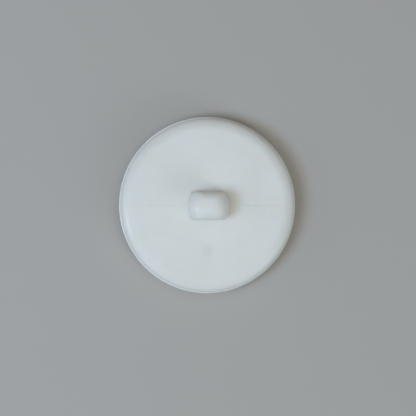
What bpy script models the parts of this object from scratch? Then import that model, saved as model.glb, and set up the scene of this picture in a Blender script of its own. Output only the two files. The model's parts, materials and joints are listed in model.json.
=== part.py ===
"""Sew-on shank button, 40 ligne, moulded in two shells that snap together.

The button lies face down on Z = 0. Its shank stands up the +Z axis, the thread eye runs
along Y, and the mould's parting plane is the XZ plane. Units are metres.
"""

import math

import bmesh
import bpy

MM = 0.001

# Whole button
BUTTON_DIAMETER = 25.4 * MM
TURN_STEPS = 64  # straight sides that make one full turn

# Face cap, the front shell
CAP_HEIGHT = 2.6 * MM
SHOULDER_WIDTH = 3.7 * MM  # curved border round the flat land of the face
RIM_BAND = 0.45 * MM  # upright band between the shoulder and the rim land
RIM_EDGE = 0.2 * MM  # radius of the rim's outer edge
RIM_WALL = 1.6 * MM  # from the pocket to the outside of the rim
FACE_WALL = 0.9 * MM

# Fit of one shell in the other
FIT_GAP = 0.2 * MM  # left between the shells on every side
SNAP_DEPTH = 0.28 * MM  # how far the bead stands out from the spigot
SNAP_CREST = 0.12 * MM  # height of the bead's flat crest
LEAD_IN = 0.2 * MM  # chamfer that guides the spigot into the pocket

# Back plate, the rear shell
SEAM_STEP = 0.25 * MM  # how far the cap stands out past the plate
PLATE_DEPTH = 1.7 * MM  # from the plate's seat to the top of its shoulder
PLATE_SHOULDER = 1.75 * MM  # width of the rounded border
PLATE_BAND = 0.4 * MM  # upright band below the rounded border
PLATE_EDGE = 0.12 * MM  # radius of the plate's lower edge
CROWN_RISE = 0.2 * MM
PLATE_WALL = 1.1 * MM
SPIGOT_WALL = 0.9 * MM

# Stiffening under the plate
RIB_COUNT = 6
RIB_THICKNESS = 0.8 * MM
RIB_DEPTH = 1.0 * MM
BOSS_DIAMETER = 4.4 * MM
CORE_DIAMETER = 2.2 * MM  # blind hole that keeps the shank's root from sinking
CORE_ROOF = 1.1 * MM  # left between the core and the thread eye

# Shank
SHANK_WIDTH = 5.8 * MM  # across the round ends
SHANK_THICKNESS = 3.9 * MM  # across the two flats, which is the eye's length
END_ROUNDING = 2.3 * MM  # top edge over the round ends
FLAT_ROUNDING = 1.35 * MM  # top edge over the flats
END_FILLET = 0.5 * MM  # root of the round ends
FLAT_FILLET = 0.35 * MM  # root of the flats
SHANK_CROWN = 0.06 * MM
ROOT_SINK = 0.5 * MM  # how far the shank's root reaches into the plate

# Thread eye
EYE_DIAMETER = 2.3 * MM
EYE_FLOOR = 0.85 * MM  # plate to the lowest line of the eye
EYE_ROOF = 1.2 * MM  # highest line of the eye to the top of the shank
MOUTH_ROUNDING = 0.3 * MM

# Ejector pin's witness mark on the back
WITNESS_DIAMETER = 1.4 * MM
WITNESS_DEPTH = 0.06 * MM
WITNESS_DISTANCE = 6.4 * MM  # from the middle of the button, towards -Y

# Finish
FACE_WHITE = (0.80, 0.83, 0.85, 1.0)
FACE_ROUGHNESS = 0.22
BACK_WHITE = (0.76, 0.80, 0.82, 1.0)
BACK_ROUGHNESS = 0.38
SMOOTH_ANGLE = math.radians(32)

# Places that follow from the sizes above
BUTTON_RADIUS = BUTTON_DIAMETER / 2
POCKET_RADIUS = BUTTON_RADIUS - RIM_WALL
SPIGOT_RADIUS = POCKET_RADIUS - FIT_GAP
PLATE_RADIUS = BUTTON_RADIUS - SEAM_STEP
CROWN_RADIUS = PLATE_RADIUS - PLATE_SHOULDER
SEAT_Z = CAP_HEIGHT + FIT_GAP
POCKET_FLOOR_Z = FACE_WALL
SPIGOT_FOOT_Z = POCKET_FLOOR_Z + FIT_GAP
BEAD_HALF = SNAP_CREST / 2 + SNAP_DEPTH  # half heights of the bead and of its groove
GROOVE_HALF = BEAD_HALF + FIT_GAP / 2
SNAP_LOWEST = SPIGOT_FOOT_Z + LEAD_IN + BEAD_HALF
SNAP_HIGHEST = CAP_HEIGHT - GROOVE_HALF
SNAP_Z = (SNAP_LOWEST + SNAP_HIGHEST) / 2
SHOULDER_TOP_Z = SEAT_Z + PLATE_DEPTH
PLATE_UNDER_Z = SHOULDER_TOP_Z - PLATE_WALL
CROWN_Z = SHOULDER_TOP_Z + CROWN_RISE
EYE_Z = CROWN_Z + EYE_FLOOR + EYE_DIAMETER / 2
SHANK_TOP_Z = EYE_Z + EYE_DIAMETER / 2 + EYE_ROOF
CORE_TOP_Z = CROWN_Z + EYE_FLOOR - CORE_ROOF


def clear_scene():
    """Removes whatever the scene already holds."""
    for existing in list(bpy.data.objects):
        bpy.data.objects.remove(existing, do_unlink=True)


def plastic(name, colour, roughness):
    """A moulded plastic of one colour."""
    material = bpy.data.materials.new(name)
    material.use_nodes = True
    shader = material.node_tree.nodes["Principled BSDF"]
    shader.inputs["Base Color"].default_value = colour
    shader.inputs["Roughness"].default_value = roughness
    shader.inputs["Metallic"].default_value = 0.0
    shader.inputs["IOR"].default_value = 1.5
    material.diffuse_color = colour
    return material


def add_object(name, mesh):
    """Links a mesh to the scene as an object, shaded smooth over its round parts."""
    mesh.shade_smooth()
    mesh.set_sharp_from_angle(angle=SMOOTH_ANGLE)
    piece = bpy.data.objects.new(name, mesh)
    bpy.context.scene.collection.objects.link(piece)
    return piece


def close_mesh(bm, name):
    """Merges doubled points, turns every face outwards and returns the mesh."""
    bmesh.ops.remove_doubles(bm, verts=bm.verts, dist=0.001 * MM)
    bmesh.ops.recalc_face_normals(bm, faces=bm.faces)
    mesh = bpy.data.meshes.new(name)
    bm.to_mesh(mesh)
    bm.free()
    return mesh


def arc(centre, half_width, half_height, start, end, steps):
    """Points on an ellipse from one angle to another, in degrees, ends included."""
    points = []
    for step in range(steps + 1):
        angle = math.radians(start + (end - start) * step / steps)
        across = centre[0] + half_width * math.cos(angle)
        up = centre[1] + half_height * math.sin(angle)
        points.append((across, up))
    return points


def turned(name, profile, axis=(0, 0, 1)):
    """Spins a profile of (radius, height) points a full turn about an axis."""
    bm = bmesh.new()
    if axis == (0, 0, 1):
        line = [bm.verts.new((radius, 0, height)) for radius, height in profile]
    else:
        line = [bm.verts.new((radius, height, 0)) for radius, height in profile]
    edges = [bm.edges.new(pair) for pair in zip(line, line[1:])]
    bmesh.ops.spin(
        bm,
        geom=line + edges,
        cent=(0, 0, 0),
        axis=axis,
        angle=2 * math.pi,
        steps=TURN_STEPS,
        use_merge=True,
    )
    return close_mesh(bm, name)


def boolean(piece, operation, other):
    """Joins another shape to a piece, or cuts it out, and hides that shape."""
    modifier = piece.modifiers.new(other.name, "BOOLEAN")
    modifier.operation = operation
    modifier.object = other
    modifier.solver = "EXACT"
    other.hide_render = True
    other.display_type = "WIRE"


def cap_profile():
    """Face, shoulder, rim and pocket of the cap, from axis to axis."""
    land_radius = BUTTON_RADIUS - SHOULDER_WIDTH
    shoulder_rise = CAP_HEIGHT - RIM_BAND
    groove_floor = GROOVE_HALF - SNAP_DEPTH
    profile = [(0, 0), (land_radius / 2, 0)]
    profile += arc((land_radius, shoulder_rise), SHOULDER_WIDTH, shoulder_rise, -90, 0, 10)
    profile += arc(
        (BUTTON_RADIUS - RIM_EDGE, CAP_HEIGHT - RIM_EDGE), RIM_EDGE, RIM_EDGE, 0, 90, 4
    )
    profile += [
        (POCKET_RADIUS, CAP_HEIGHT),
        (POCKET_RADIUS, SNAP_Z + GROOVE_HALF),
        (POCKET_RADIUS + SNAP_DEPTH, SNAP_Z + groove_floor),
        (POCKET_RADIUS + SNAP_DEPTH, SNAP_Z - groove_floor),
        (POCKET_RADIUS, SNAP_Z - GROOVE_HALF),
        (POCKET_RADIUS, POCKET_FLOOR_Z),
        (0, POCKET_FLOOR_Z),
    ]
    return profile


def crown_height(radius):
    """Height of the plate's low crown at a distance from the axis."""
    return CROWN_Z - CROWN_RISE * (radius / CROWN_RADIUS) ** 2


def plate_profile():
    """Underside, spigot, seat, shoulder and crown of the plate, from axis to axis."""
    spigot_bore = SPIGOT_RADIUS - SPIGOT_WALL
    shoulder_rise = PLATE_DEPTH - PLATE_BAND
    crest = SNAP_CREST / 2
    profile = [
        (0, PLATE_UNDER_Z),
        (spigot_bore, PLATE_UNDER_Z),
        (spigot_bore, SPIGOT_FOOT_Z),
        (SPIGOT_RADIUS - LEAD_IN, SPIGOT_FOOT_Z),
        (SPIGOT_RADIUS, SPIGOT_FOOT_Z + LEAD_IN),
        (SPIGOT_RADIUS, SNAP_Z - BEAD_HALF),
        (SPIGOT_RADIUS + SNAP_DEPTH, SNAP_Z - crest),
        (SPIGOT_RADIUS + SNAP_DEPTH, SNAP_Z + crest),
        (SPIGOT_RADIUS, SNAP_Z + BEAD_HALF),
        (SPIGOT_RADIUS, SEAT_Z),
    ]
    profile += arc(
        (PLATE_RADIUS - PLATE_EDGE, SEAT_Z + PLATE_EDGE), PLATE_EDGE, PLATE_EDGE, -90, 0, 3
    )
    profile += arc(
        (CROWN_RADIUS, SEAT_Z + PLATE_BAND), PLATE_SHOULDER, shoulder_rise, 0, 90, 8
    )
    for share in (0.75, 0.5, 0.25, 0):
        profile.append((CROWN_RADIUS * share, crown_height(CROWN_RADIUS * share)))
    return profile


def shank_outline(end_radius, half_thickness):
    """A circle about Z that two straight sides along X cut where it is wider than they are."""
    end_angle = math.degrees(math.asin(min(half_thickness / end_radius, 1)))
    points = []
    for turn in (0, 180):
        points += arc((0, 0), end_radius, end_radius, turn - end_angle, turn + end_angle, 10)
        corner = points[-1]
        for share in (0.25, 0.5, 0.75):
            points.append((corner[0] * (1 - 2 * share), corner[1]))
    return points


def quarter(radius, depth):
    """Inset of a rounded edge at a depth below its top, for the edge's radius."""
    short = max(radius - depth, 0)
    return radius - math.sqrt(radius**2 - short**2)


def shank_levels():
    """Heights of the shank's outlines with the growth of its ends and of its flats there."""
    root_z = crown_height(SHANK_WIDTH / 2 + END_FILLET)
    levels = [(root_z - ROOT_SINK, END_FILLET, FLAT_FILLET)]
    for share in (0, 0.06, 0.2, 0.45, 1):
        rise = END_FILLET * share
        grow = quarter(END_FILLET, rise), quarter(FLAT_FILLET, rise)
        levels.append((root_z + rise, *grow))
    rounding_top = SHANK_TOP_Z - SHANK_CROWN
    for share in (1, 0.75, 0.53, 0.35, 0.21, 0.11, 0.04, 0.01):
        drop = END_ROUNDING * share
        shrink = -quarter(END_ROUNDING, drop), -quarter(FLAT_ROUNDING, drop)
        levels.append((rounding_top - drop, *shrink))
    return levels


def shank():
    """The post: stacked outlines from root to rounded top, closed by a low crown."""
    bm = bmesh.new()
    rings = []
    for height, end_growth, flat_growth in shank_levels():
        outline = shank_outline(
            SHANK_WIDTH / 2 + end_growth, SHANK_THICKNESS / 2 + flat_growth
        )
        rings.append([bm.verts.new((x, y, height)) for x, y in outline])
    top = shank_outline(
        SHANK_WIDTH / 2 - END_ROUNDING, SHANK_THICKNESS / 2 - FLAT_ROUNDING
    )
    for share in (0.66, 0.33):
        height = SHANK_TOP_Z - SHANK_CROWN * share**2
        rings.append([bm.verts.new((x * share, y * share, height)) for x, y in top])
    for lower, upper in zip(rings, rings[1:]):
        for spot in range(len(lower)):
            after = (spot + 1) % len(lower)
            bm.faces.new((lower[spot], lower[after], upper[after], upper[spot]))
    bm.faces.new(rings[0])
    bm.faces.new(rings[-1])
    return add_object("shank_form", close_mesh(bm, "shank_form"))


def eye_cutter():
    """A turned bar along Y that widens where the eye opens through each flat."""
    bore = EYE_DIAMETER / 2
    face = SHANK_THICKNESS / 2
    past = face + FLAT_FILLET
    inner = face - MOUTH_ROUNDING
    mouth = bore + MOUTH_ROUNDING
    rounding = arc((mouth, inner), MOUTH_ROUNDING, MOUTH_ROUNDING, 180, 90, 4)
    half = rounding + [(mouth, past), (0, past)]
    profile = [(radius, -along) for radius, along in reversed(half)] + half
    cutter = add_object("eye_cutter", turned("eye_cutter", profile, axis=(0, 1, 0)))
    cutter.location = (0, 0, EYE_Z)
    return cutter


def ribs():
    """A boss under the shank with ribs that run out to the spigot."""
    boss = BOSS_DIAMETER / 2
    reach = SPIGOT_RADIUS - SPIGOT_WALL / 2
    half_angle = math.degrees(math.asin(RIB_THICKNESS / 2 / boss))
    root = boss * math.cos(math.radians(half_angle))
    pitch = 360 / RIB_COUNT
    outline = []
    for number in range(RIB_COUNT):
        angle = math.radians(pitch * number)
        for along, across in ((root, -1), (reach, -1), (reach, 1)):
            side = across * RIB_THICKNESS / 2
            x = along * math.cos(angle) - side * math.sin(angle)
            y = along * math.sin(angle) + side * math.cos(angle)
            outline.append((x, y))
        start = pitch * number + half_angle
        outline += arc((0, 0), boss, boss, start, start + pitch - 2 * half_angle, 4)[:-1]
    top = PLATE_UNDER_Z + PLATE_WALL / 2
    return prism("rib_form", outline, PLATE_UNDER_Z - RIB_DEPTH, top)


def prism(name, outline, bottom, top):
    """An outline in the XY plane drawn up from one height to another."""
    bm = bmesh.new()
    floor = bm.faces.new([bm.verts.new((x, y, bottom)) for x, y in outline])
    drawn = bmesh.ops.extrude_face_region(bm, geom=[floor])["geom"]
    moved = [item for item in drawn if isinstance(item, bmesh.types.BMVert)]
    bmesh.ops.translate(bm, vec=(0, 0, top - bottom), verts=moved)
    return add_object(name, close_mesh(bm, name))


def disc(name, diameter, bottom, top, place=(0, 0)):
    """A round bar along Z between two heights."""
    outline = arc(place, diameter / 2, diameter / 2, 0, 360, TURN_STEPS // 2)[:-1]
    return prism(name, outline, bottom, top)


def face_cap():
    """The front shell, which shows when the button is sewn on."""
    cap = add_object("face_cap", turned("face_cap", cap_profile()))
    cap.data.materials.append(plastic("face_white", FACE_WHITE, FACE_ROUGHNESS))
    return cap


def back_plate():
    """The rear shell with its spigot, ribs, shank and thread eye."""
    plate = add_object("back_plate", turned("back_plate", plate_profile()))
    plate.data.materials.append(plastic("back_white", BACK_WHITE, BACK_ROUGHNESS))
    boolean(plate, "UNION", ribs())
    boss_top = PLATE_UNDER_Z + PLATE_WALL / 2
    boolean(plate, "UNION", disc("boss_form", BOSS_DIAMETER, SPIGOT_FOOT_Z, boss_top))
    boolean(plate, "UNION", shank())
    boolean(plate, "DIFFERENCE", eye_cutter())
    core = disc("core_cutter", CORE_DIAMETER, SPIGOT_FOOT_Z - FIT_GAP / 2, CORE_TOP_Z)
    boolean(plate, "DIFFERENCE", core)
    sunk = crown_height(WITNESS_DISTANCE) - WITNESS_DEPTH
    spot = (0, -WITNESS_DISTANCE)
    witness = disc("witness_cutter", WITNESS_DIAMETER, sunk, CROWN_Z, spot)
    boolean(plate, "DIFFERENCE", witness)
    return plate


def main():
    clear_scene()
    button = bpy.data.objects.new("button_origin", None)
    bpy.context.scene.collection.objects.link(button)
    for shell in (face_cap(), back_plate()):
        shell.parent = button


main()
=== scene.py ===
import json
import math

import bpy
import numpy as np
from mathutils import Matrix, Vector


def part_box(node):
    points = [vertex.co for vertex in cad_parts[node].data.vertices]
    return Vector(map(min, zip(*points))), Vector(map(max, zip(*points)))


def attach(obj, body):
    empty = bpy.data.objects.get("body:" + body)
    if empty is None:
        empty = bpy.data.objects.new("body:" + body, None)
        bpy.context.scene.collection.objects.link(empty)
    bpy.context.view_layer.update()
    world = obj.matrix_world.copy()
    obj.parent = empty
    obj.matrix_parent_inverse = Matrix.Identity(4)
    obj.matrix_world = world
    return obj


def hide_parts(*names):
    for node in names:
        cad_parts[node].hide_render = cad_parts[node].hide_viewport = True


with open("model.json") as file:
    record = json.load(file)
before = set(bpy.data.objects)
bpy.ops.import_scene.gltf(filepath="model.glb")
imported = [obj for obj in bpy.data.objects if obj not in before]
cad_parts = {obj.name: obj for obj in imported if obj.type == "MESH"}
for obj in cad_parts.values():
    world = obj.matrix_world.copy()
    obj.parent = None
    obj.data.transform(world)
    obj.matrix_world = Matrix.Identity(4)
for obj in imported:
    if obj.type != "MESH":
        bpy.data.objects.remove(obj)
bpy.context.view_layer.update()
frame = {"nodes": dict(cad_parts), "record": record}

# Shapes are worked out in millimetres, and turned to metres where a mesh, a lamp or the camera is made.
metre = 0.001
fullTurn = 2 * math.pi

capHigh = np.array(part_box("face_cap")[1]) / metre
plateLow, plateHigh = (np.array(corner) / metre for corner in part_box("back_plate"))
eyeMount = next(mount for mount in frame["record"]["mounts"] if mount["name"] == "thread_eye")
fitGap = 0.2  # left between the two shells on every side
creaseAngle = 34  # degrees, past which an edge stays sharp
print("frame loaded:", ", ".join(sorted(frame["nodes"])))


def curvedEdge(centre, halfWidth, halfHeight, startAngle, endAngle, steps):
    # points on an ellipse: centre, plus half width times cosine across and half height times sine up
    angle = np.radians(np.linspace(startAngle, endAngle, steps + 1))
    return np.stack((centre[0] + halfWidth * np.cos(angle), centre[1] + halfHeight * np.sin(angle)), axis=1)


def straightRun(start, end, steps):
    # points at equal steps from one place to another
    return np.linspace(start, end, steps + 1)


def joinRuns(*runs):
    # runs laid end to end, leaving out a point that repeats the one before it
    points = np.vstack(runs)
    step = np.linalg.norm(np.diff(points, axis=0), axis=1)
    return points[np.concatenate(([True], step > 1e-5))]


def crowdedSteps(start, end, count, crowds, closed=False):
    # the places' density is 1 plus a bell at each crowd, and its running sum read backwards gives the places
    fine = np.linspace(start, end, 6001)
    density = np.ones_like(fine)
    for middle, width, weight in crowds:
        away = fine - middle
        if closed:
            away = (away + fullTurn / 2) % fullTurn - fullTurn / 2
        density += weight * np.exp(-((away / width) ** 2))
    total = np.concatenate(([0], np.cumsum((density[1:] + density[:-1]) / 2)))
    return np.interp(np.linspace(0, total[-1], count, endpoint=not closed), total, fine)


def smoothStep(value):
    # 0 below 0, 1 above 1, and 3v^2 - 2v^3 between
    held = np.clip(value, 0, 1)
    return held * held * (3 - 2 * held)


def roundingInset(radius, depth):
    # how far a rounded edge stands in at a depth below its top: r less the root of r^2 - (r - depth)^2
    short = np.maximum(radius - depth, 0)
    return radius - np.sqrt(radius**2 - short**2)


def ringsRoundZ(radius, height, angles):
    # x is the radius times the cosine, y the radius times the sine, and z the height
    radius, height, angles = np.broadcast_arrays(radius, height, angles)
    return np.stack((radius * np.cos(angles), radius * np.sin(angles), height), axis=-1)


def outwardOf(rings):
    # unit normals: the step down the rows crossed with the step round the columns
    down = np.gradient(rings, axis=0)
    around = np.roll(rings, -1, axis=1) - np.roll(rings, 1, axis=1)
    normal = np.cross(down, around)
    return normal / np.maximum(np.linalg.norm(normal, axis=-1, keepdims=True), 1e-9)


def joinedRings(number):
    # quads that join each ring of numbered points to the next, from one column to the column after it
    after = np.roll(number, -1, axis=1)
    return np.stack((number[:-1], number[1:], after[1:], after[:-1]), axis=-1).reshape(-1, 4)


def skinOfRings(name, rings):
    # Rows run from the top pole to the bottom pole and columns anticlockwise from above. Quads join each
    # ring to the next, and a fan of triangles closes each pole.
    around = rings.shape[1]
    points = np.vstack((rings[0].mean(axis=0), rings[1:-1].reshape(-1, 3), rings[-1].mean(axis=0)))
    number = 1 + np.arange((rings.shape[0] - 2) * around).reshape(-1, around)
    first, last = number[0], number[-1]
    topFan = np.stack((np.zeros(around, int), first, np.roll(first, -1)), axis=1)
    bottomFan = np.stack((np.full(around, len(points) - 1), np.roll(last, -1), last), axis=1)
    faces = joinedRings(number).tolist() + topFan.tolist() + bottomFan.tolist()
    mesh = bpy.data.meshes.new(name)
    mesh.from_pydata((points * metre).tolist(), [], faces)
    return mesh


def placePiece(name, mesh, material, node):
    # the finished mesh, smooth but for its creases, riding on the button's one body in place of a CAD node
    mesh.shade_smooth()
    mesh.set_sharp_from_angle(angle=math.radians(creaseAngle))
    mesh.materials.append(material)
    piece = bpy.data.objects.new(name, mesh)
    bpy.context.scene.collection.objects.link(piece)
    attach(piece, "root")
    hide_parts(node)
    print(f"{name}: {len(mesh.polygons)} faces")


def linearFromHex(code):
    # sRGB to linear: c / 12.92 up to 0.04045, and ((c + 0.055) / 1.055) ^ 2.4 above
    share = np.array([int(code[place:place + 2], 16) for place in (1, 3, 5)]) / 255
    linear = np.where(share <= 0.04045, share / 12.92, ((share + 0.055) / 1.055) ** 2.4)
    return (*linear.tolist(), 1.0)


def addNode(tree, kind, settings=None, links=None):
    # one node with its settings, by property or by socket name, and its links, by socket name or number
    node = tree.nodes.new(kind)
    for key, value in (settings or {}).items():
        if hasattr(node, key):
            setattr(node, key, value)
        else:
            node.inputs[key].default_value = value
    for key, source in (links or {}).items():
        tree.links.new(source, node.inputs[key])
    return node


pinPlace = (0, -6.4)  # mm, where the ejector pin pushed the back shell out of its mould

# ABS pigmented white and moulded against fine-finished steel. The steel leaves a satin sheen, faintly uneven
# like orange peel, and the pigment lets a little light in under the skin, so that shade in a corner turns
# warm and soft.
satinAbs = {
    "whites": ("#F1EEE3", "#F4F1E8"),
    "toneStops": (0.35, 0.65),  # of the noise, for the two whites
    "flowSize": 5.0,  # mm, drift of the tone along the melt's flow
    "roughness": (0.29, 0.33),
    "hazeSpan": (0.3, 0.7),  # of the noise, for the two ends of the roughness
    "hazeSize": 1.1,  # mm, patches left by handling
    "rippleSize": 1.6,  # mm, orange peel
    "rippleDepth": 0.004,
    "grainSize": 0.16,  # mm, really about 0.03, drawn coarser so that it shows
    "grainDepth": 0.0008,
    "ior": 1.53,
    "scatter": 0.35,
    "scatterDepth": 0.8,  # mm
    "scatterReach": (1.0, 0.75, 0.5),  # shares of that depth for red, green and blue
    # the plastic that froze against the ejector pin's end is a shade darker, fading out over the edge, and
    # 4.63 is the disc's height there
    "pinPrint": {"place": (*pinPlace, 4.63), "radius": 1.2, "edge": 0.8, "white": "#EFE9E0"},
}
# The same ABS against polished steel, for the side that shows on a garment: a clearer, tighter gloss.
polishedAbs = dict(satinAbs, whites=("#F2EFE5", "#F5F2EA"), roughness=(0.18, 0.26), rippleDepth=0.003,
                   grainDepth=0.0003, pinPrint=None)


def mouldedAbs(name, look):
    # One noise blends two whites and another blends two roughnesses, the pin's print is mixed in by the
    # distance from its middle, and two more noises are stacked as bumps.
    material = bpy.data.materials.new(name)
    material.use_nodes = True
    tree = material.node_tree
    shader = tree.nodes["Principled BSDF"]
    shader.inputs["IOR"].default_value = look["ior"]
    shader.inputs["Subsurface Weight"].default_value = look["scatter"]
    shader.inputs["Subsurface Radius"].default_value = look["scatterReach"]
    shader.inputs["Subsurface Scale"].default_value = look["scatterDepth"] * metre

    place = addNode(tree, "ShaderNodeTexCoord").outputs["Object"]
    flow = addNode(tree, "ShaderNodeTexNoise",
                   {"Scale": 1 / (look["flowSize"] * metre), "Detail": 3.0, "Distortion": 0.6},
                   {"Vector": place})
    tone = addNode(tree, "ShaderNodeValToRGB", links={"Fac": flow.outputs["Fac"]})
    for stop, position, white in zip(tone.color_ramp.elements, look["toneStops"], look["whites"]):
        stop.position = position
        stop.color = linearFromHex(white)
    colour = tone.outputs["Color"]
    if look["pinPrint"]:
        pin = look["pinPrint"]
        solid = pin["radius"] - pin["edge"]
        away = addNode(tree, "ShaderNodeVectorMath", {"operation": "DISTANCE"}, {0: place})
        away.inputs[1].default_value = [along * metre for along in pin["place"]]
        share = addNode(tree, "ShaderNodeMapRange",
                        {"From Min": pin["radius"] * metre, "From Max": solid * metre},
                        {"Value": away.outputs["Value"]})
        printed = addNode(tree, "ShaderNodeMix", {"data_type": "RGBA"},
                          {0: share.outputs["Result"], 6: colour})  # 0 is the factor, 6 and 7 the colours
        printed.inputs[7].default_value = linearFromHex(pin["white"])
        colour = printed.outputs[2]
    tree.links.new(colour, shader.inputs["Base Color"])

    haze = addNode(tree, "ShaderNodeTexNoise",
                   {"Scale": 1 / (look["hazeSize"] * metre), "Detail": 5.0, "Roughness": 0.6},
                   {"Vector": place})
    gloss = addNode(tree, "ShaderNodeMapRange",
                    {"From Min": look["hazeSpan"][0], "From Max": look["hazeSpan"][1],
                     "To Min": look["roughness"][0], "To Max": look["roughness"][1]},
                    {"Value": haze.outputs["Fac"]})
    tree.links.new(gloss.outputs["Result"], shader.inputs["Roughness"])

    ripple = addNode(tree, "ShaderNodeTexNoise",
                     {"Scale": 1 / (look["rippleSize"] * metre), "Detail": 1.0}, {"Vector": place})
    peel = addNode(tree, "ShaderNodeBump", {"Distance": look["rippleDepth"] * metre},
                   {"Height": ripple.outputs["Fac"]})
    grain = addNode(tree, "ShaderNodeTexNoise",
                    {"Scale": 1 / (look["grainSize"] * metre), "Detail": 2.0}, {"Vector": place})
    texture = addNode(tree, "ShaderNodeBump", {"Distance": look["grainDepth"] * metre},
                      {"Height": grain.outputs["Fac"], "Normal": peel.outputs["Normal"]})
    tree.links.new(texture.outputs["Normal"], shader.inputs["Normal"])
    return material


backWhite = mouldedAbs("absMouldedSatin", satinAbs)
faceWhite = mouldedAbs("absMouldedPolished", polishedAbs)
print("materials made")

# The front shell, face down: its shoulder, rim and pocket, with the groove that the back shell snaps into.
faceCap = {
    "columns": 320,
    "shoulderWidth": 3.7,
    "rimBand": 0.45,  # upright, between the shoulder and the rim's edge
    "rimEdge": 0.2,
    "rimWall": 1.6,
    "faceWall": 0.9,
    "pocketCorner": 0.3,
    "landEdge": 0.12,  # inner edge of the rim land
}
snap = {
    "middle": 1.9,  # height of the bead's and the groove's crest
    "crest": 0.12,
    "depth": 0.28,
}


def snapRing(radius, halfHeight, upwards):
    # A bead's or a groove's side. It stands out by the snap's depth times a smooth step of the share of the
    # flank that is climbed, and is level over the crest.
    along = np.linspace(-1, 1, 15)
    flank = halfHeight - snap["crest"] / 2
    lift = snap["depth"] * smoothStep((1 - np.abs(along)) * halfHeight / flank)
    run = np.stack((radius + lift, snap["middle"] + halfHeight * along), axis=1)
    return run if upwards else run[::-1]


def faceCapRings():
    # a profile of radius and height, carried round Z
    outer, top = capHigh[0], capHigh[2]
    pocket = outer - faceCap["rimWall"]
    land = outer - faceCap["shoulderWidth"]
    rise = top - faceCap["rimBand"]
    corner, lip, edge = faceCap["pocketCorner"], faceCap["landEdge"], faceCap["rimEdge"]
    floor = faceCap["faceWall"]
    profile = joinRuns(
        straightRun((0, floor), (pocket - corner, floor), 10),
        curvedEdge((pocket - corner, floor + corner), corner, corner, -90, 0, 6),
        snapRing(pocket, snap["crest"] / 2 + snap["depth"] + fitGap / 2, True),
        curvedEdge((pocket + lip, top - lip), lip, lip, 180, 90, 5),
        straightRun((pocket + lip, top), (outer - edge, top), 6),
        curvedEdge((outer - edge, top - edge), edge, edge, 90, 0, 9),
        straightRun((outer, top - edge), (outer, rise), 2),
        curvedEdge((land, rise), faceCap["shoulderWidth"], rise, 0, -90, 44),
        straightRun((land, 0), (0, 0), 12),
    )
    angles = np.linspace(0, fullTurn, faceCap["columns"], endpoint=False)
    return ringsRoundZ(profile[:, :1], profile[:, 1:], angles)


capMesh = skinOfRings("faceCapMoulding", faceCapRings())
placePiece("faceCapMoulding", capMesh, faceWhite, "face_cap")

# The back shell's disc: a low crown, a rounded shoulder, and under it the spigot, boss and ribs.
backPlate = {
    "columns": 408,
    "depth": 1.7,  # seat to the top of the shoulder
    "shoulderWidth": 1.75,
    "band": 0.4,
    "lowerEdge": 0.12,
    "crownRise": 0.2,
    "wall": 1.1,
    "spigotRadius": 10.9,
    "spigotWall": 0.9,
    "leadIn": 0.2,
    "ribs": 6,
    "ribThickness": 0.8,
    "ribDepth": 1.0,
    "draft": 0.05,  # each side of a rib leans by this
    "bossRadius": 2.2,
    "coreRadius": 1.1,
    "coreTop": 4.45,
}
# The shank: a round post with two flats, rounded at its top and filleted into the disc.
shank = {
    "width": 5.8,
    "thickness": 3.9,
    "endRounding": 2.3,
    "flatRounding": 1.35,
    "endFillet": 0.5,
    "flatFillet": 0.35,
    "crown": 0.06,
    "cornerSharpness": 24,
}
# What the mould left: a step where its two jaws met, an ejector pin's print, and a slight waviness.
mouldMarks = {
    "stepHeight": 0.08,
    "stepWidth": 0.1,
    "stepFade": 1.6,  # mm over which the proud side sinks back
    # mm along X, from and to, with a share of the height
    "stepStretches": ((-8.9, -4.2, 0.55), (5.2, 8.4, 1.0), (8.0, 10.9, 0.35)),
    "stretchEnd": 0.5,  # mm over which a stretch begins and ends
    "stepElsewhere": 0.12,
    "pinRadius": 0.7,
    "pinEdge": 0.5,
    "pinDepth": 0.04,
    "waves": 7,
    "waveHeight": 0.01,
    "waveLengths": (5.0, 11.0),
    "seed": 7,
}
seatHeight = capHigh[2] + fitGap
shoulderTop = seatHeight + backPlate["depth"]
crownEdge = plateHigh[0] - backPlate["shoulderWidth"]
crownTop = shoulderTop + backPlate["crownRise"]


def crownHeight(radius):
    # a low paraboloid: the crown's top less its rise times the square of the radius's share
    return crownTop - backPlate["crownRise"] * (radius / crownEdge) ** 2


def shankRadius(ends, flats, angles):
    # A circle cut by two flats: 1 / ends to the power n, plus |sine| / flats to the power n, all to the
    # power -1 / n. A large n makes a sharp upright corner.
    power = shank["cornerSharpness"]
    return ((1 / ends) ** power + (np.abs(np.sin(angles)) / flats) ** power) ** (-1 / power)


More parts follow.
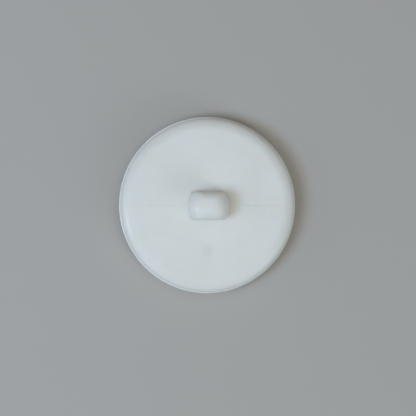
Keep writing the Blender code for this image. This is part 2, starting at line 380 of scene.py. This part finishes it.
def upperRings(angles):
    # From the middle of the shank's top, down its side and out over the disc to the foot of the shoulder.
    # Adding 0 * angles spreads one height or radius over every column.
    halfWidth, halfThick = shank["width"] / 2, shank["thickness"] / 2
    # the rounding starts where it leans as the crown's edge does, which for a small lean is a quadratic
    rounding = shank["endRounding"]
    level = halfWidth - rounding
    firstLean = (math.sqrt(level**2 + 8 * rounding * shank["crown"]) - level) / (2 * rounding)

    lean = np.linspace(firstLean, math.pi / 2, 29)[:, None]
    drop = rounding * (1 - np.cos(lean))
    ends = halfWidth - rounding * (1 - np.sin(lean))
    flats = halfThick - roundingInset(shank["flatRounding"], drop)
    roundRadius = shankRadius(ends, flats, angles)
    roundHeight = plateHigh[2] - shank["crown"] + drop[0] - drop + 0 * angles

    share = np.linspace(0, 1, 9)[:-1, None]
    topRadius = share * roundRadius[0]
    topHeight = plateHigh[2] - shank["crown"] * share**2 + 0 * angles

    lean = np.linspace(math.pi / 2, 0, 15)[:, None]
    rise = shank["endFillet"] * (1 - np.cos(lean))
    ends = halfWidth + shank["endFillet"] * (1 - np.sin(lean))
    flats = halfThick + roundingInset(shank["flatFillet"], rise)
    filletRadius = shankRadius(ends, flats, angles)
    filletHeight = crownHeight(filletRadius) + rise

    share = np.linspace(0, 1, 11)[1:-1, None]
    sideRadius = roundRadius[-1] + (filletRadius[0] - roundRadius[-1]) * share
    sideHeight = roundHeight[-1] + (filletHeight[0] - roundHeight[-1]) * share

    share = crowdedSteps(0, 1, 58, ((0.47, 0.1, 2.0),))[1:, None]  # rings crowd about the pin's print
    discRadius = filletRadius[-1] + (crownEdge - filletRadius[-1]) * share
    discHeight = crownHeight(discRadius)

    bandTop = seatHeight + backPlate["band"]
    turn = np.linspace(0, math.pi / 2, 38)[1:, None]
    shoulderRadius = crownEdge + backPlate["shoulderWidth"] * np.sin(turn) + 0 * angles
    fall = crownHeight(plateHigh[0]) - bandTop
    shoulderHeight = crownHeight(shoulderRadius) - fall * (1 - np.cos(turn))

    radius = np.vstack((topRadius, roundRadius, sideRadius, filletRadius, discRadius, shoulderRadius))
    height = np.vstack((topHeight, roundHeight, sideHeight, filletHeight, discHeight, shoulderHeight))
    return ringsRoundZ(radius, height, angles)


def reliefAt(points):
    # The parting step: its height along X, times a smooth step across y = 0, times e to the y over its fade.
    # The pin's print: a smooth step at its edge. The waviness: a mean of cosines in seeded directions.
    x, y = points[..., 0], points[..., 1]
    along = np.full_like(x, mouldMarks["stepElsewhere"])
    for start, end, share in mouldMarks["stepStretches"]:
        rise = smoothStep((x - start) / mouldMarks["stretchEnd"])
        fall = smoothStep((end - x) / mouldMarks["stretchEnd"])
        along = np.maximum(along, share * rise * fall)
    below = np.minimum(y, 0)
    step = mouldMarks["stepHeight"] * along * smoothStep(-below / mouldMarks["stepWidth"])
    relief = step * np.exp(below / mouldMarks["stepFade"])
    away = np.hypot(x - pinPlace[0], y - pinPlace[1])
    inPrint = smoothStep((mouldMarks["pinRadius"] - away) / mouldMarks["pinEdge"] + 0.5)
    relief = relief - mouldMarks["pinDepth"] * inPrint
    draw = np.random.default_rng(mouldMarks["seed"])
    heading = draw.uniform(0, fullTurn, mouldMarks["waves"])
    waves = fullTurn / draw.uniform(*mouldMarks["waveLengths"], mouldMarks["waves"])
    phase = draw.uniform(0, fullTurn, mouldMarks["waves"])
    travel = x[..., None] * np.cos(heading) + y[..., None] * np.sin(heading)
    return relief + mouldMarks["waveHeight"] * np.cos(travel * waves + phase).mean(axis=-1)


def ribAngles(radius):
    # Columns that keep to the ribs' straight sides: a side at a distance s from the rib's middle line stands
    # at the arc sine of s over the radius, and the columns between two ribs share out what is left.
    sector = fullTurn / backPlate["ribs"]
    columns = backPlate["columns"] // backPlate["ribs"]
    thin = backPlate["ribThickness"] / 2 - backPlate["draft"]
    thick = backPlate["ribThickness"] / 2
    crest, foot = np.arcsin(thin / radius), np.arcsin(thick / radius)
    half = 5  # columns from a rib's middle line to its side
    inRib = crest * np.arange(half) / (half - 1)
    between = foot + (sector - 2 * foot) * np.linspace(0, 1, columns - 2 * half + 1)
    local = np.concatenate((inRib, between, sector - inRib[:0:-1]), axis=-1)
    starts = sector * np.arange(backPlate["ribs"])
    onRib = np.concatenate((np.ones(half), np.zeros(columns - 2 * half + 1), np.ones(half - 1)))
    return (starts[:, None] + local).ravel(), np.tile(onRib, backPlate["ribs"])


def lowerRings(angles):
    # from the shoulder's foot down the band, in along the seat, down the spigot, and over the hollow
    # underside with its ribs, boss and core
    seat, foot = seatHeight, plateLow[2]
    edge, radius = backPlate["lowerEdge"], plateHigh[0]
    spigot, lead = backPlate["spigotRadius"], backPlate["leadIn"]
    bore = spigot - backPlate["spigotWall"]
    outside = joinRuns(
        straightRun((radius, seat + backPlate["band"]), (radius, seat + edge), 3)[1:],
        curvedEdge((radius - edge, seat + edge), edge, edge, 0, -90, 6),
        straightRun((radius - edge, seat), (spigot, seat), 5),
        snapRing(spigot, snap["crest"] / 2 + snap["depth"], False),
        straightRun((spigot, foot + lead), (spigot - lead, foot), 2),
        straightRun((spigot - lead, foot), (bore, foot), 2),
    )
    count = len(outside)
    ribbed, onRib = ribAngles(bore)
    blend = smoothStep(np.linspace(0, 1, count))[:, None]
    outsideRings = ringsRoundZ(outside[:, :1], outside[:, 1:], angles + (ribbed - angles) * blend)

    boss, core = backPlate["bossRadius"], backPlate["coreRadius"]
    under = shoulderTop - backPlate["wall"] - backPlate["ribDepth"] * onRib
    share = np.linspace(0, 1, 6)[1:, None]
    wall = ringsRoundZ(bore, foot + (under - foot) * share, ribbed)
    inward = bore + (boss - bore) * np.linspace(0, 1, 15)[1:]
    hollow = np.stack([ringsRoundZ(reach, under, ribAngles(reach)[0]) for reach in inward])
    bossed = ribAngles(boss)[0]
    bossWall = ringsRoundZ(boss, under + (foot - under) * share, bossed)
    inside = joinRuns(
        straightRun((boss, foot), (core, foot), 3)[1:],
        straightRun((core, foot), (core, backPlate["coreTop"]), 6),
        straightRun((core, backPlate["coreTop"]), (0, backPlate["coreTop"]), 3),
    )
    insideRings = ringsRoundZ(inside[:, :1], inside[:, 1:], bossed)
    return np.concatenate((outsideRings, wall, hollow, bossWall, insideRings))


def backPlateSkin():
    # Columns crowd where the parting step, the pin's print and the shank's corners need them. Each crowd has
    # its angle, its width and its weight.
    corner = math.asin(shank["thickness"] / shank["width"])
    crowds = [(0, 0.05, 6.0), (math.pi, 0.05, 6.0), (1.5 * math.pi, 0.12, 1.5)]
    crowds += [(side, 0.15, 1.5) for side in (corner, math.pi - corner, math.pi + corner, -corner)]
    angles = crowdedSteps(0, fullTurn, backPlate["columns"], crowds, closed=True)
    upper = upperRings(angles)
    upper = upper + outwardOf(upper) * reliefAt(upper)[..., None]
    return skinOfRings("backPlateUncut", np.concatenate((upper, lowerRings(angles))))


# The thread eye runs through the flats along Y, and its mouths are rounded so that they don't cut the thread.
threadEye = {
    "columns": 96,
    "mouthRounding": 0.3,
    "lastLean": 84,  # degrees of the rounding that are kept before the cutter runs out past the flat
    "clear": 0.02,  # past the flat, where the cutter's side turns straight
    "flare": 0.12,  # by which the cutter is wider there than at the rounding's end
    "past": 0.6,  # how far it runs on
}


def threadEyeCutter():
    # a bore whose radius grows by a quarter circle at each mouth, carried round the eye's axis
    bore = eyeMount["dims"]["r_mm"]
    face = eyeMount["dims"]["length_mm"] / 2
    rounding = threadEye["mouthRounding"]
    lastAngle = 180 - threadEye["lastLean"]
    lip = curvedEdge((bore + rounding, face - rounding), rounding, rounding, 180, lastAngle, 12)
    wide, end = lip[-1, 0] + threadEye["flare"], face + threadEye["past"]
    outer = np.array(((wide, face + threadEye["clear"]), (wide, end), (0, end)))
    half = np.vstack((straightRun((bore, 0), (bore, face - rounding), 5), lip[1:], outer))
    profile = np.vstack((half[::-1], half[1:] * (1, -1)))
    angles = np.linspace(0, fullTurn, threadEye["columns"], endpoint=False)
    rings = ringsRoundZ(profile[:, :1], profile[:, 1:], angles)
    turned = np.stack((rings[..., 0], rings[..., 2], -rings[..., 1]), axis=-1)
    return skinOfRings("threadEyeCutter", turned + np.array(eyeMount["pos_m"]) / metre)


def cutAway(name, solidMesh, cutterMesh):
    # the first mesh less the second, as a plain mesh with no modifier left on it
    solid, cutter = (bpy.data.objects.new(mesh.name, mesh) for mesh in (solidMesh, cutterMesh))
    for helper in (solid, cutter):
        bpy.context.scene.collection.objects.link(helper)
    cut = solid.modifiers.new("cut", "BOOLEAN")
    cut.operation = "DIFFERENCE"
    cut.solver = "EXACT"
    cut.object = cutter
    bpy.context.view_layer.update()
    result = bpy.data.meshes.new_from_object(solid.evaluated_get(bpy.context.evaluated_depsgraph_get()))
    result.name = name
    for helper in (solid, cutter):
        bpy.data.objects.remove(helper)
    return result


plateMesh = cutAway("backPlateMoulding", backPlateSkin(), threadEyeCutter())
placePiece("backPlateMoulding", plateMesh, backWhite, "back_plate")

# A pale paper sweep: flat under the button, and turning up all round it into its own background. The camera's
# leans are degrees from Z along X and Y, and halfFrame is half the width of the view at its aim.
studio = {
    "paper": "#C1BAB0",
    "paperRoughness": 0.9,
    "flatRadius": 250,
    "sweepRadius": 560,
    "sweepHeight": 380,
    "sky": "#C4D0E0",
    "skyStrength": 0.08,
    "camera": {"aim": (0.10, -0.40, 2.6), "leans": (-3.0, 1.2), "distance": 250, "halfFrame": 29.95},
}
# A softbox stands at a heading round Z and an angle from upright, and faces the button. The window is a cool
# light from one side and the ceiling a warmer one from above, so that shade is warmer than what is lit. The
# window gives no reflection, and the strip gives nothing else. The side and the bounce fill in from low down.
softboxes = {
    "window": {"heading": 195, "fromUpright": 32, "distance": 400, "size": (150, 150), "watts": 0.69,
               "colour": "#BFDAFF", "shades": True, "mirrored": False},
    "ceiling": {"heading": 90, "fromUpright": 0, "distance": 600, "size": (700, 700), "watts": 1.26,
                "colour": "#FFFFF8", "shades": True, "mirrored": True},
    "side": {"heading": 182, "fromUpright": 58, "distance": 400, "size": (260, 160), "watts": 0.155,
             "colour": "#DEEFFF", "shades": True, "mirrored": True},
    "bounce": {"heading": 318, "fromUpright": 58, "distance": 400, "size": (260, 160), "watts": 0.275,
               "colour": "#DEEFFF", "shades": True, "mirrored": True},
    "strip": {"heading": 197, "fromUpright": 58, "distance": 400, "size": (110, 22), "watts": 0.18,
              "colour": "#EAF4FF", "shades": False, "mirrored": True},
}


def lookFrame(backward):
    # a right-handed frame whose Z is the way back, whose X is level with the picture and whose Y is its up
    back = Vector(backward).normalized()
    side = Vector((0, 1, 0)).cross(back).normalized()
    return Matrix((side, back.cross(side), back)).transposed()


def mattPaper():
    # uncoated card: it scatters light evenly and mirrors nothing
    material = bpy.data.materials.new("paperMatt")
    material.use_nodes = True
    shader = material.node_tree.nodes["Principled BSDF"]
    shader.inputs["Base Color"].default_value = linearFromHex(studio["paper"])
    shader.inputs["Roughness"].default_value = studio["paperRoughness"]
    shader.inputs["Specular IOR Level"].default_value = 0.0
    return material


def laySweep():
    # a flat disc whose border rises along a quarter of an ellipse, carried round Z
    flat, wide, high = studio["flatRadius"], studio["sweepRadius"], studio["sweepHeight"]
    profile = curvedEdge((flat, high), wide - flat, high, -90, 0, 40)
    angles = np.linspace(0, fullTurn, 160, endpoint=False)
    rings = ringsRoundZ(profile[:, :1], profile[:, 1:], angles)
    number = 1 + np.arange(rings.shape[0] * rings.shape[1]).reshape(rings.shape[:2])
    middle = np.stack((np.zeros(rings.shape[1], int), number[0], np.roll(number[0], -1)), axis=1)
    points = np.vstack(((0, 0, 0), rings.reshape(-1, 3))) * metre
    mesh = bpy.data.meshes.new("paperSweep")
    mesh.from_pydata(points.tolist(), [], joinedRings(number).tolist() + middle.tolist())
    mesh.shade_smooth()
    mesh.materials.append(mattPaper())
    sweep = bpy.data.objects.new("paperSweep", mesh)
    bpy.context.scene.collection.objects.link(sweep)


def hangSoftbox(name, lamp):
    # at a heading round Z and an angle from upright, facing the origin
    light = bpy.data.lights.new(name, "AREA")
    light.shape = "RECTANGLE"
    light.size, light.size_y = (side * metre for side in lamp["size"])
    light.energy = lamp["watts"]
    light.color = linearFromHex(lamp["colour"])[:3]
    softbox = bpy.data.objects.new(name, light)
    heading, upright = math.radians(lamp["heading"]), math.radians(lamp["fromUpright"])
    out = Vector((math.sin(upright) * math.cos(heading), math.sin(upright) * math.sin(heading),
                  math.cos(upright)))
    softbox.matrix_world = lookFrame(out).to_4x4()
    softbox.location = out * lamp["distance"] * metre
    softbox.visible_camera = False
    softbox.visible_diffuse = lamp["shades"]
    softbox.visible_glossy = lamp["mirrored"]
    bpy.context.scene.collection.objects.link(softbox)


def setWorld():
    # a faint even sky, which only keeps the shade open
    world = bpy.data.worlds.new("paleRoom")
    world.use_nodes = True
    sky = world.node_tree.nodes["Background"]
    sky.inputs["Color"].default_value = linearFromHex(studio["sky"])
    sky.inputs["Strength"].default_value = studio["skyStrength"]
    bpy.context.scene.world = world


def setCamera():
    # stands back from the aim along a way that leans a little from Z
    shot = studio["camera"]
    leanX, leanY = (math.sin(math.radians(lean)) for lean in shot["leans"])
    back = Vector((leanX, leanY, 1)).normalized()
    lens = bpy.data.cameras.new("camera")
    lens.sensor_width = 36
    lens.lens = lens.sensor_width / 2 * shot["distance"] / shot["halfFrame"]
    lens.clip_start = 0.005
    camera = bpy.data.objects.new("camera", lens)
    camera.matrix_world = lookFrame(back).to_4x4()
    camera.location = (Vector(shot["aim"]) + back * shot["distance"]) * metre
    bpy.context.scene.collection.objects.link(camera)
    bpy.context.scene.camera = camera


laySweep()
for softboxName, softboxLamp in softboxes.items():
    hangSoftbox(softboxName, softboxLamp)
setWorld()
setCamera()
bpy.context.scene.view_settings.view_transform = "Standard"
print("sweep, light and camera set")
